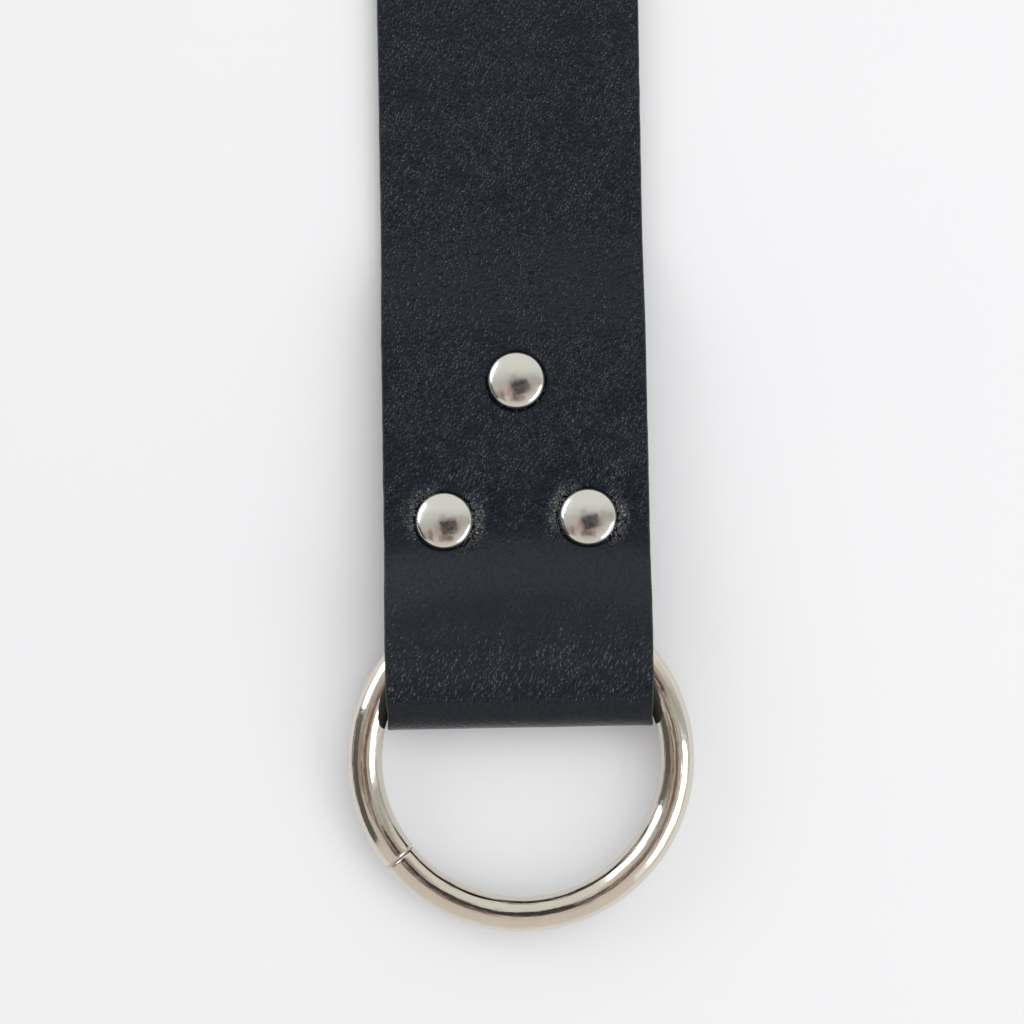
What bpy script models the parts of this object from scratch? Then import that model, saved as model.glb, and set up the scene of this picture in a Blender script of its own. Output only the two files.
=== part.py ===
"""Ring belt: the end of a flat leather strap, folded round a metal ring and held by three double-cap rivets.

The strap lies face up along Y with its fold towards -Y, and +Z is up. A distance called "along" is measured
up the strap from the ring's centre, and "across" from the strap's middle line. The origin is under the middle
of the whole, on the surface that it lies on.
"""

import math

import bmesh
import bpy
from mathutils import Matrix, Vector

MM = 0.001

# Strap
STRAP_WIDTH = 38.1 * MM
LEATHER = 2.8 * MM
EDGE_BEVEL = 0.3 * MM
FREE_END = 119 * MM  # along, to the straight cut end
FLAP_END = 60 * MM  # along, to the end of the turned-back flap
FOLD_REACH = 4.4 * MM  # along, to the fold's outermost line, which lies inside the ring
LAYER_GAP = 0.2 * MM  # between the face layer and the flap where they are riveted
FLAT_FROM = 77 * MM  # the strap lies flat on the surface from here to its free end

# Ring: round wire bent to a circle, with its two ends butted
WIRE_RADIUS = 2.5 * MM
RING_RADIUS = 22.5 * MM  # to the middle of the wire
RING_CLEARANCE = 0.3 * MM
BUTT_ANGLE = math.radians(218.1)
BUTT_GAP = 0.25 * MM
BUTT_EASE = 0.25 * MM

# Rivets: a cap with a tube on the face, and a base with a post on the back
RIVETS = (  # name, across, along
    ("left", -10.35 * MM, 34.3 * MM),
    ("right", 10.2 * MM, 34.5 * MM),
    ("middle", 0.3 * MM, 54.2 * MM),
)
CAP_RADIUS = 4.1 * MM
CROWN_RADIUS = 11 * MM
CAP_EDGE = 0.9 * MM
BASE_EDGE = 0.6 * MM
LIP_SHARE = 0.4  # of the edge's radius, below the cap's widest circle
DENT = 0.4 * MM  # the caps are pressed this far into the leather
DENT_SLOPE = 0.5 * MM
SEAT_GAP = 0.3 * MM
TUBE_OUTER = 1.5 * MM
TUBE_INNER = 0.95 * MM
POST_RADIUS = 0.65 * MM
HOLE_RADIUS = 1.8 * MM

# How the leather opens round the ring, and how it comes down to the surface
OPENING_FALL = 10 * MM  # the two layers close over this distance outside the wire's middle line
ARCH = 0.6  # 1 follows the ring's curve, 0 closes straight across the strap
BEND_START = 24 * MM
BEND_END = 40 * MM
REST_GAP = 0.05 * MM  # under the middle rivet's base

# Fineness
COLUMNS = 14
FOLD_STEPS = 16
ROUND_STEPS = 24
RING_STEPS = 80
WIRE_SIDES = 16
EDGE_STEPS = 5
CROWN_STEPS = 3

# Worked out from the sizes above
RING_CENTRE_Y = (RING_RADIUS + WIRE_RADIUS - FREE_END) / 2
POCKET = 2 * (WIRE_RADIUS + RING_CLEARANCE)
RING_HEIGHT = LEATHER + POCKET / 2
FOLD_RADIUS = (POCKET + LEATHER) / 2
FOLD_CENTRE = FOLD_REACH + FOLD_RADIUS + LEATHER / 2
RING_EYE = RING_RADIUS - WIRE_RADIUS - RING_CLEARANCE
LAYERS_START = RING_RADIUS * 0.7
SEAT = LAYER_GAP / 2 + LEATHER - DENT + SEAT_GAP  # from the surface between the layers to a cap's rim


def steps(first, last, count):
    return [first + (last - first) * i / count for i in range(count + 1)]


def smooth(t):
    t = min(max(t, 0.0), 1.0)
    return t * t * (3 - 2 * t)


def crown_turn(edge):
    """Angle from the axis at which a cap's wide crown meets its rounded edge."""
    return math.asin((CAP_RADIUS - edge) / (CROWN_RADIUS - edge))


def crown_rise(edge):
    """Height of a cap above its widest circle."""
    turn = crown_turn(edge)
    return edge * math.cos(turn) + CROWN_RADIUS * (1 - math.cos(turn))


def bend(along):
    """0 up to BEND_START, then a soft bend into a straight line of slope 1."""
    if along <= BEND_START:
        return 0.0
    if along >= BEND_END:
        return along - (BEND_START + BEND_END) / 2
    return (along - BEND_START) ** 2 / (2 * (BEND_END - BEND_START))


LAST_RIVET = max(along for _, _, along in RIVETS)
LAST_RIVET_HEIGHT = REST_GAP + crown_rise(BASE_EDGE) + LIP_SHARE * BASE_EDGE + SEAT
STACK_SLOPE = (RING_HEIGHT - LAST_RIVET_HEIGHT) / bend(LAST_RIVET)


def middle_height(along):
    """Height of the surface between the two layers: level at the ring, then sloping down so far that the
    last rivet's base rests on the surface."""
    return RING_HEIGHT - STACK_SLOPE * bend(along)


def spread(across, along):
    """Distance between the two layers: open over the ring's wire, closed at the rivets."""
    outside = math.hypot(ARCH * across, along) - RING_RADIUS
    return POCKET + (LAYER_GAP - POCKET) * smooth(outside / OPENING_FALL)


def face_height(across, along):
    """Height of the middle of the leather in the face layer, which drops to the surface past the flap."""
    if along <= FLAP_END:
        return middle_height(along) + (spread(across, along) + LEATHER) / 2
    run = FLAT_FROM - FLAP_END
    t = min((along - FLAP_END) / run, 1.0)
    start = middle_height(FLAP_END) + (LAYER_GAP + LEATHER) / 2
    drop = (start - LEATHER / 2) * smooth(t)
    return start - drop - STACK_SLOPE * run * t * (1 - t) ** 2


def flap_height(across, along):
    """Height of the middle of the leather in the flap."""
    return middle_height(along) - (spread(across, along) + LEATHER) / 2


def layer_point(height, across, along, offset):
    """A point of a layer, offset square to the middle of its leather."""
    reach = 0.1 * MM
    slope = (height(across, along + reach) - height(across, along - reach)) / (2 * reach)
    normal = Vector((0, -slope, 1)).normalized()
    return Vector((across, along, height(across, along))) + normal * offset


def fold_point(turn, across, offset):
    """A point of the fold, from the face layer at turn 0 to the flap at half a turn."""
    radius = FOLD_RADIUS + offset
    return Vector((across, FOLD_CENTRE - radius * math.sin(turn), RING_HEIGHT + radius * math.cos(turn)))


def narrowing(turn, offset):
    """Share of the strap's width that is left in the fold, whose edges keep clear inside the ring's eye."""
    half = STRAP_WIDTH / 2
    along = FOLD_CENTRE - (FOLD_RADIUS + offset) * math.sin(turn)
    excess = max(half - math.sqrt(RING_EYE**2 - along**2), 0)
    return 1 - excess / half * math.sin(turn) ** 2


def section():
    """(across, offset) points round the leather's cross-section, a flat bar with bevelled edges."""
    half = STRAP_WIDTH / 2
    flat = steps(EDGE_BEVEL - half, half - EDGE_BEVEL, COLUMNS)
    grain = LEATHER / 2
    side = grain - EDGE_BEVEL
    outline = [(across, grain) for across in flat]
    outline += [(half, side), (half, -side)]
    outline += [(across, -grain) for across in reversed(flat)]
    outline += [(-half, -side), (-half, side)]
    return outline


def strap_sections():
    """The strap's cross-sections, from the free end round the fold to the flap's end."""
    riveted = steps(FLAP_END, BEND_END, 4)
    opening = steps(BEND_END, LAYERS_START, 16)
    face = steps(FREE_END, FLAT_FROM, 2) + steps(FLAT_FROM, FLAP_END, 9)[1:] + riveted[1:] + opening[1:]
    for along in face:
        yield [layer_point(face_height, across, along, offset) for across, offset in section()]
    for turn in steps(0, math.pi, FOLD_STEPS):
        yield [fold_point(turn, across * narrowing(turn, offset), offset) for across, offset in section()]
    for along in opening[::-1] + riveted[-2::-1]:
        yield [layer_point(flap_height, across, along, -offset) for across, offset in section()]


def skin(bm, loops):
    """Faces between each loop of vertices and the next, and a face over each end."""
    for first, second in zip(loops, loops[1:]):
        for i, vert in enumerate(first):
            j = (i + 1) % len(first)
            bm.faces.new((vert, first[j], second[j], second[i]))
    bm.faces.new(loops[0])
    bm.faces.new(loops[-1])


def mesh_from(name, bm):
    """Ends the bmesh's work: faces turned outwards, round surfaces shaded smooth."""
    bmesh.ops.recalc_face_normals(bm, faces=bm.faces)
    mesh = bpy.data.meshes.new(name)
    bm.to_mesh(mesh)
    bm.free()
    mesh.shade_smooth()
    mesh.set_sharp_from_angle(angle=math.radians(35))
    return mesh


def add_object(name, mesh, parent=None, material=None):
    if material:
        mesh.materials.append(material)
    obj = bpy.data.objects.new(name, mesh)
    bpy.context.scene.collection.objects.link(obj)
    obj.parent = parent
    return obj


def make_strap(belt, leather):
    bm = bmesh.new()
    skin(bm, [[bm.verts.new(point) for point in points] for points in strap_sections()])
    strap = add_object("strap", mesh_from("strap", bm), belt, leather)
    strap.location.y = RING_CENTRE_Y
    return strap


def make_ring(belt, nickel):
    """Circles of wire set one after another round the ring, smaller at the two eased ends."""
    whole = 2 * math.pi - BUTT_GAP / RING_RADIUS
    ease = BUTT_EASE / RING_RADIUS
    turns = [0.0, ease] + steps(0, whole, RING_STEPS)[1:-1] + [whole - ease, whole]
    bm = bmesh.new()
    loops = []
    for turn in turns:
        at_end = turn in (0.0, whole)
        place = Matrix.Rotation(BUTT_ANGLE + turn, 4, "Z") @ Matrix.Translation((RING_RADIUS, 0, 0))
        circle = bmesh.ops.create_circle(
            bm,
            segments=WIRE_SIDES,
            radius=WIRE_RADIUS - BUTT_EASE if at_end else WIRE_RADIUS,
            matrix=place @ Matrix.Rotation(math.pi / 2, 4, "X"),
        )
        loops.append(circle["verts"])
    skin(bm, loops)
    ring = add_object("ring", mesh_from("ring", bm), belt, nickel)
    ring.location = (0, RING_CENTRE_Y, RING_HEIGHT)


def turned(name, outline):
    """The outline of (radius, height) points turned about Z. It starts and ends on the axis."""
    bm = bmesh.new()
    verts = [bm.verts.new((radius, 0, height)) for radius, height in outline]
    edges = [bm.edges.new(pair) for pair in zip(verts, verts[1:])]
    bmesh.ops.spin(
        bm,
        geom=verts + edges,
        axis=(0, 0, 1),
        cent=(0, 0, 0),
        steps=ROUND_STEPS,
        angle=2 * math.pi,
    )
    bmesh.ops.remove_doubles(bm, verts=bm.verts, dist=MM / 1000)
    return mesh_from(name, bm)


def crown(edge):
    """(radius, height) points of a cap from its rim on the leather, round its edge and up to its top."""
    lip = LIP_SHARE * edge
    widest = SEAT + lip
    turn = crown_turn(edge)
    outline = [(CAP_RADIUS - lip, SEAT)]
    for angle in steps(math.pi / 2, turn, EDGE_STEPS):
        outline.append((CAP_RADIUS - edge + edge * math.sin(angle), widest + edge * math.cos(angle)))
    centre = widest + crown_rise(edge) - CROWN_RADIUS
    for angle in steps(turn, 0, CROWN_STEPS)[1:]:
        outline.append((CROWN_RADIUS * math.sin(angle), centre + CROWN_RADIUS * math.cos(angle)))
    return outline


def rivet_cap_mesh():
    """The piece on the face: a crowned cap with a tube that goes down through both layers."""
    tube_end = SEAT_GAP - SEAT
    tube = [(0, SEAT), (TUBE_INNER, SEAT), (TUBE_INNER, tube_end), (TUBE_OUTER, tube_end), (TUBE_OUTER, SEAT)]
    return turned("rivet_cap", tube + crown(CAP_EDGE))


def rivet_base_mesh():
    """The piece on the back: a flatter cap with a post that stands in the tube."""
    post_top = SEAT - SEAT_GAP
    post = [(0, post_top), (POST_RADIUS, post_top), (POST_RADIUS, -SEAT)]
    return turned("rivet_base", post + [(radius, -height) for radius, height in crown(BASE_EDGE)])


def rivet_hole_mesh():
    """The space that a rivet takes in the leather: a hole, and a shallow dent under each cap."""
    floor = SEAT - SEAT_GAP
    slope_end = floor + DENT_SLOPE
    wide = CAP_RADIUS + DENT_SLOPE
    above = floor + LEATHER
    upper = [(0, above), (wide, above), (wide, slope_end), (CAP_RADIUS, floor), (HOLE_RADIUS, floor)]
    return turned("rivet_hole", upper + [(radius, -height) for radius, height in reversed(upper)])


def rivet_place(across, along):
    """A rivet stands on the surface between the layers, square to it."""
    reach = 0.1 * MM
    rise = middle_height(along + reach) - middle_height(along - reach)
    spot = Matrix.Translation((across, RING_CENTRE_Y + along, middle_height(along)))
    return spot @ Matrix.Rotation(math.atan2(rise, 2 * reach), 4, "X")


def make_rivets(belt, strap, nickel):
    cap_mesh = rivet_cap_mesh()
    base_mesh = rivet_base_mesh()
    cap_mesh.materials.append(nickel)
    base_mesh.materials.append(nickel)
    hole_mesh = rivet_hole_mesh()
    for name, across, along in RIVETS:
        place = rivet_place(across, along)
        add_object(f"rivet_cap_{name}", cap_mesh, belt).matrix_world = place
        add_object(f"rivet_base_{name}", base_mesh, belt).matrix_world = place
        hole = add_object(f"hole_{name}", hole_mesh)
        hole.matrix_world = place
        hole.hide_render = True
        hole.display_type = "WIRE"
        cut = strap.modifiers.new(f"hole_{name}", "BOOLEAN")
        cut.operation = "DIFFERENCE"
        cut.solver = "EXACT"
        cut.object = hole


def principled(name, colour, roughness, metallic):
    material = bpy.data.materials.new(name)
    material.use_nodes = True
    shader = material.node_tree.nodes["Principled BSDF"]
    shader.inputs["Base Color"].default_value = (*colour, 1)
    shader.inputs["Roughness"].default_value = roughness
    shader.inputs["Metallic"].default_value = metallic
    return material


def main():
    for obj in list(bpy.data.objects):
        bpy.data.objects.remove(obj)
    leather = principled("black_leather", (0.022, 0.024, 0.029), 0.5, 0)
    ring_nickel = principled("ring_nickel", (0.64, 0.59, 0.53), 0.15, 1)
    rivet_nickel = principled("rivet_nickel", (0.68, 0.65, 0.6), 0.2, 1)
    belt = bpy.data.objects.new("ring_belt", None)
    bpy.context.scene.collection.objects.link(belt)
    strap = make_strap(belt, leather)
    make_ring(belt, ring_nickel)
    make_rivets(belt, strap, rivet_nickel)


main()
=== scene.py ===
"""Looks of a ring belt: the end of a black leather strap, folded round a nickel-plated ring and riveted.

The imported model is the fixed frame. Three kinds of piece are dressed here: the strap, whose surface is
made again with its dents, puckers and grain, the bent wire ring, and the rivets' caps and bases. As in the
frame, the strap lies along Y with its fold towards -Y, and +Z is up. A distance called "along" is measured
up the strap from the ring's centre, "across" from its middle line, and "hide" over the leather's own surface
from the fold's outermost line: positive up the face, negative down the flap on the back.
"""

import math

import bmesh
import bpy
import numpy as np
from mathutils import Matrix, Vector


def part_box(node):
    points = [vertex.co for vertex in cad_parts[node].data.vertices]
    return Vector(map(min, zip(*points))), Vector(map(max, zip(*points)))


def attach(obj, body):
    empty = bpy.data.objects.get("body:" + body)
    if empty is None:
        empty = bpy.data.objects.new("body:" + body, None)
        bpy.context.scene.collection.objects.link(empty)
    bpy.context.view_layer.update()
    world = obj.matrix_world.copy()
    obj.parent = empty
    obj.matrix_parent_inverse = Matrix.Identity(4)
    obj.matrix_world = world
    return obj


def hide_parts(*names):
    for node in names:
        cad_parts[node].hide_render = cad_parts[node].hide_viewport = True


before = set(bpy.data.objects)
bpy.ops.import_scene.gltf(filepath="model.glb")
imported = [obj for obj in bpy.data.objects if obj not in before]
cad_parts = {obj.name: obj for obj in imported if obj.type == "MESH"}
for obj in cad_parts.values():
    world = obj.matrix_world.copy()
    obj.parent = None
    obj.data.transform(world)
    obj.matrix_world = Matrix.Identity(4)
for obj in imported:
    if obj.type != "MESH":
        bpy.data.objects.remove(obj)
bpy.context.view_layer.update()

MM = 0.001

# The frame's own sizes
strap_low, strap_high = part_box("strap")
ring_low, ring_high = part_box("ring")
RING_CENTRE = (ring_low + ring_high) / 2
WIRE_RADIUS = (ring_high.z - ring_low.z) / 2
HALF_WIDTH = (strap_high.x - strap_low.x) / 2
FREE_END = strap_high.y - RING_CENTRE.y

# Strap, as it was laid out for the frame
LEATHER = 2.8 * MM
FLAP_END = 60 * MM
FOLD_REACH = 4.4 * MM
LAYER_GAP = 0.2 * MM
FLAT_FROM = 77 * MM
RING_RADIUS = 22.5 * MM
RING_CLEARANCE = 0.3 * MM
OPENING_FALL = 10 * MM
ARCH = 0.6
BEND_START = 24 * MM
BEND_END = 40 * MM
REST_GAP = 0.05 * MM
POCKET = 2 * (WIRE_RADIUS + RING_CLEARANCE)
RING_HEIGHT = LEATHER + POCKET / 2
FOLD_RADIUS = (POCKET + LEATHER) / 2
FOLD_CENTRE = FOLD_REACH + FOLD_RADIUS + LEATHER / 2
RING_EYE = RING_RADIUS - WIRE_RADIUS - RING_CLEARANCE
FOLD_QUARTER = (FOLD_RADIUS + LEATHER / 2) * math.pi / 2  # hide distance from the outermost line to the face

# Rivets
RIVETS = (  # across, along, how far the leather is drawn in round its cap
    (-10.35 * MM, 34.3 * MM, 1.0),
    (10.2 * MM, 34.5 * MM, 1.0),
    (0.3 * MM, 54.2 * MM, 0.25),
)
CAP_RADIUS = 4.1 * MM
CROWN_RADIUS = 11 * MM
CAP_EDGE = 0.9 * MM
BASE_EDGE = 0.6 * MM
LIP_SHARE = 0.4
DENT = 0.4 * MM
DENT_SLOPE = 0.45 * MM
SEAT_GAP = 0.3 * MM
TUBE_OUTER = 1.5 * MM
TUBE_INNER = 0.95 * MM
POST_RADIUS = 0.65 * MM
HOLE_RADIUS = 1.8 * MM
CAP_LEANS = ((1.4, 4.8), (-0.6, 3.8), (0.0, 0.4))  # degrees towards +X and +Y, as they were set
LIP_INNER = 3.3 * MM  # the rolled lip under a cap's edge, from this radius outwards
LIP_TOUCH = 0.02 * MM  # between that lip and the leather
SEAT = LAYER_GAP / 2 + LEATHER - DENT + SEAT_GAP


def smooth(t):
    t = np.clip(t, 0, 1)
    return t * t * (3 - 2 * t)


def spaced(first, last, step):
    """Evenly spaced values from first to last, about one step apart."""
    return np.linspace(first, last, round(abs(last - first) / step) + 1)


# Shape of the strap


def crown_turn(edge):
    """Angle from the axis at which a cap's wide crown meets its rounded edge."""
    return math.asin((CAP_RADIUS - edge) / (CROWN_RADIUS - edge))


def crown_rise(edge):
    """Height of a cap above its widest circle."""
    turn = crown_turn(edge)
    return edge * math.cos(turn) + CROWN_RADIUS * (1 - math.cos(turn))


def bend(along):
    """0 up to BEND_START, then a soft bend into a straight line of slope 1."""
    bending = np.clip(along, BEND_START, BEND_END) - BEND_START
    return bending**2 / (2 * (BEND_END - BEND_START)) + np.maximum(along - BEND_END, 0)


LAST_RIVET = max(along for _, along, _ in RIVETS)
LAST_RIVET_HEIGHT = REST_GAP + crown_rise(BASE_EDGE) + LIP_SHARE * BASE_EDGE + SEAT
STACK_SLOPE = (RING_HEIGHT - LAST_RIVET_HEIGHT) / bend(LAST_RIVET)


def middle_height(along):
    """Height of the surface between the two layers."""
    return RING_HEIGHT - STACK_SLOPE * bend(along)


def spread(across, along):
    """Distance between the two layers: open over the ring's wire, closed at the rivets."""
    outside = np.hypot(ARCH * across, along) - RING_RADIUS
    return POCKET + (LAYER_GAP - POCKET) * smooth(outside / OPENING_FALL)


def face_height(across, along):
    """Height of the middle of the leather in the face layer, which drops to the surface past the flap."""
    over_flap = middle_height(along) + (spread(across, along) + LEATHER) / 2
    run = FLAT_FROM - FLAP_END
    t = np.clip((along - FLAP_END) / run, 0, 1)
    start = middle_height(FLAP_END) + (LAYER_GAP + LEATHER) / 2
    past_flap = start - (start - LEATHER / 2) * smooth(t) - STACK_SLOPE * run * t * (1 - t) ** 2
    return np.where(along <= FLAP_END, over_flap, past_flap)


def flap_height(across, along):
    """Height of the middle of the leather in the flap."""
    return middle_height(along) - (spread(across, along) + LEATHER) / 2


def layer_points(height, across, along, offset):
    """Points of a layer, offset square to the middle of its leather."""
    reach = 0.1 * MM
    slope = (height(across, along + reach) - height(across, along - reach)) / (2 * reach)
    length = np.sqrt(1 + slope**2)
    return across, along - slope / length * offset, height(across, along) + offset / length


def fold_points(turn, across, offset):
    """Points of the fold, from the face layer at turn 0 to the flap at half a turn."""
    radius = FOLD_RADIUS + offset
    y = FOLD_CENTRE - radius * np.sin(turn)
    return across, y, RING_HEIGHT + radius * np.cos(turn)


def narrowing(turn, offset):
    """Share of the strap's width that is left in the fold, whose edges keep clear inside the ring's eye."""
    along = FOLD_CENTRE - (FOLD_RADIUS + offset) * np.sin(turn)
    excess = np.maximum(HALF_WIDTH - np.sqrt(RING_EYE**2 - along**2), 0)
    return 1 - excess / HALF_WIDTH * np.sin(turn) ** 2


# Relief of the leather


def waves(seed, wavelength, stretch=1.0, count=24):
    """A soft random field over the hide: many sine waves about one wavelength long, in seeded directions."""
    rng = np.random.default_rng(seed)
    turns = rng.uniform(0, 2 * math.pi, count)
    phases = rng.uniform(0, 2 * math.pi, count)
    lengths = wavelength * rng.uniform(0.7, 1.5, count)

    def field(across, hide):
        total = np.zeros(np.broadcast(across, hide).shape)
        for turn, phase, length in zip(turns, phases, lengths):
            way = across * math.cos(turn) + hide / stretch * math.sin(turn)
            total += np.sin(2 * math.pi * way / length + phase)
        return total / math.sqrt(count)

    return field


def hide_place(along):
    """Hide distance of a place on the face."""
    return FOLD_QUARTER + along - FOLD_CENTRE


BOWL = 0.15 * MM  # of the dent, the part that the leather sinks softly beside a lower cap
BOWL_REACH = 2.9 * MM
PUCKER = 0.05 * MM  # folds that run out from the lower caps, where the leather closes over the ring
PUCKER_REACH = 3.6 * MM
PUCKER_FOLDS = (19, 23, 27, 31, 37)
SAG = 0.02 * MM  # slow unevenness of the hide
CRINKLE = 0.012 * MM  # short folds across the bend over the wire
CRINKLE_BAND = (7.5 * MM, 15.5 * MM)  # in hide distance
PEAK = 2.2  # the fields below hardly ever pass this, so the leather stays within its plain surface

sag_field = waves(seed=3, wavelength=14 * MM)
crinkle_field = waves(seed=5, wavelength=1.3 * MM, stretch=2.2)


def band(value, low, high, soft):
    """1 between low and high, falling to 0 over a soft margin outside them."""
    return smooth((value - low + soft) / soft) * smooth((high + soft - value) / soft)


def from_rivet(across, hide, rivet):
    """Distance and angle from a rivet's axis over the leather. The flap's rivets mirror the face's."""
    right = across - rivet[0]
    up = np.abs(hide) - hide_place(rivet[1])
    return np.hypot(right, up), np.arctan2(up, right)


SIDES = (math.radians(155), math.radians(-8))  # ways out from a rivet where the leather is drawn in most


def side_share(angle):
    """1 on both sides of a rivet, 0 below it."""
    lobes = [np.maximum(np.cos(angle - side), 0) for side in SIDES]
    return np.maximum(*lobes) ** 1.5


def relief(across, hide):
    """How far the grain side stands above a plain surface: nothing, or less where it sinks."""
    height = SAG * (sag_field(across, hide) - PEAK)
    crinkled = band(np.abs(hide), *CRINKLE_BAND, soft=1.5 * MM)
    height = height + CRINKLE * crinkled * (crinkle_field(across, hide) - PEAK)
    for number, rivet in enumerate(RIVETS):
        distance, angle = from_rivet(across, hide, rivet)
        out = distance - CAP_RADIUS
        height = height * smooth(out / BOWL_REACH)
        bowl = BOWL * rivet[2] * (0.2 + 0.8 * side_share(angle))
        height -= (DENT - bowl) * (1 - smooth(out / DENT_SLOPE))
        height -= bowl * (1 - np.clip(out / BOWL_REACH, 0, 1)) ** 2
        folds = sum(np.sin(n * angle + n * number) for n in PUCKER_FOLDS) / math.sqrt(len(PUCKER_FOLDS))
        fade = smooth(out / DENT_SLOPE) * (1 - smooth(out / PUCKER_REACH))
        height += rivet[2] * PUCKER * fade * side_share(angle) * (folds - PEAK) / 2
    return np.minimum(height, 0)


# Grain depth over the hide, as a share of its full depth
GRAIN_DEPTHS = (  # hide distance from the outermost line in mm, share
    (0.0, 0.6),
    (2.6, 0.5),
    (4.3, 0.15),
    (5.5, 0.05),
    (6.8, 0.25),
    (8.2, 0.9),
    (13.5, 0.95),
    (16.0, 0.6),
    (19.0, 0.42),
    (24.0, 0.3),
    (28.0, 0.3),
    (33.0, 0.75),
    (38.0, 1.0),
    (46.0, 1.05),
)
NEAR_RIVET = 3.0  # beside a lower cap; below it the leather is drawn smooth
NEAR_HOLD = 0.3 * MM  # out from the cap's edge before that begins to fade
NEAR_FADE = 2.4 * MM
STRETCH_REACH = 8.5 * MM  # grain is drawn out towards a cap within this distance
STRETCH_SHARE = 0.3
BAND_DRAW = 0.25  # grain is drawn out along the strap by this share where it bends over the wire


def grain_depth(across, hide):
    places, shares = zip(*GRAIN_DEPTHS)
    depth = np.interp(np.abs(hide), np.array(places) * MM, shares)
    for rivet in RIVETS[:2]:
        distance, angle = from_rivet(across, hide, rivet)
        near = 1 - smooth((distance - CAP_RADIUS - NEAR_HOLD) / NEAR_FADE)
        depth = depth + (NEAR_RIVET * side_share(angle) - depth) * near
    return depth


PAINTED_SHEEN_FROM = (6 * MM, 13 * MM)  # in hide distance: where the painted sheen, a paler dye on the leather over the ring, begins, and is full
PAINTED_SHEEN_TO = (36 * MM, 25 * MM)  # where it ends, and where it is still full


# Share of painted sheen: the dye is made paler over the leather bent round the ring, to stand in for the
# sheen it shows there.
def painted_sheen_share(hide):
    shares = [(np.abs(hide) - start) / (end - start) for start, end in (PAINTED_SHEEN_FROM, PAINTED_SHEEN_TO)]
    return smooth(shares[0]) * smooth(shares[1])


def grain_place(across, hide):
    """Where the grain's pattern is read: drawn out towards the caps, and along the strap where it bends."""
    low, high = CRINKLE_BAND
    x = across.copy()
    y = hide - np.sign(hide) * BAND_DRAW * (np.clip(np.abs(hide), low, high) - low)
    for rivet in RIVETS:
        distance, angle = from_rivet(across, hide, rivet)
        shift = np.maximum(STRETCH_REACH - distance, 0) * STRETCH_SHARE * rivet[2]
        x += np.cos(angle) * shift
        y += np.sin(angle) * shift * np.sign(hide)
    return x, y


# Strap


EDGE_ROUND = 0.2 * MM
END_EASE = 0.15 * MM
GRAIN_COLUMNS = 180
FLESH_COLUMNS = 16
CORNER_STEPS = 4
FOLD_ROWS = 44
FINE_FROM = 28 * MM  # rows are closest between here and there, along, where the rivets are
FINE_TO = 62 * MM
EDGE_MARGIN = 1.5 * MM  # the relief fades out within this distance of the edge
GRAIN_SIDE, CUT_EDGE, FLESH_SIDE = range(3)
wobble_field = waves(seed=8, wavelength=5 * MM, count=12)
EDGE_WOBBLE = 0.02 * MM


def section(half_width, inset):
    """Across, offset and side for points round the leather's cross-section, a flat bar with rounded edges."""
    across, offset, side = [], [], []
    thick = LEATHER / 2 - inset
    half = half_width - inset
    corner = half - EDGE_ROUND
    across += list(np.linspace(-corner, corner, GRAIN_COLUMNS + 1))
    offset += [thick] * (GRAIN_COLUMNS + 1)
    turns = np.linspace(0, math.pi / 2, CORNER_STEPS + 1)[1:]
    rounded = [(corner + EDGE_ROUND * math.sin(t), thick - EDGE_ROUND * (1 - math.cos(t))) for t in turns]
    right_edge = rounded + [(a, -o) for a, o in reversed(rounded)]
    across += [a for a, _ in right_edge]
    offset += [o for _, o in right_edge]
    across += list(np.linspace(corner, -corner, FLESH_COLUMNS + 1))
    offset += [-thick] * (FLESH_COLUMNS + 1)
    across += [-a for a, _ in reversed(right_edge)]
    offset += [o for _, o in reversed(right_edge)]
    edge = len(right_edge)
    side = [GRAIN_SIDE] * GRAIN_COLUMNS + [CUT_EDGE] * (edge + 1)
    side += [FLESH_SIDE] * FLESH_COLUMNS + [CUT_EDGE] * (edge + 1)
    return np.array(across), np.array(offset), side


def strap_rows():
    """(stretch, place, inset) of each row of points, from the free end round the fold to the flap's end."""
    face = [
        *spaced(FREE_END - END_EASE, FINE_TO, 1.0 * MM),
        *spaced(FINE_TO, FINE_FROM, 0.22 * MM)[1:],
        *spaced(FINE_FROM, FOLD_CENTRE, 0.35 * MM)[1:-1],
    ]
    flap = [
        *spaced(FOLD_CENTRE, FINE_FROM, 0.6 * MM)[1:],
        *spaced(FINE_FROM, FLAP_END - END_EASE, 0.36 * MM)[1:],
    ]
    yield "face", FREE_END, END_EASE
    for along in face:
        yield "face", along, 0
    for turn in np.linspace(0, math.pi, FOLD_ROWS + 1):
        yield "fold", turn, 0
    for along in flap:
        yield "flap", along, 0
    yield "flap", FLAP_END, END_EASE


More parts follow.
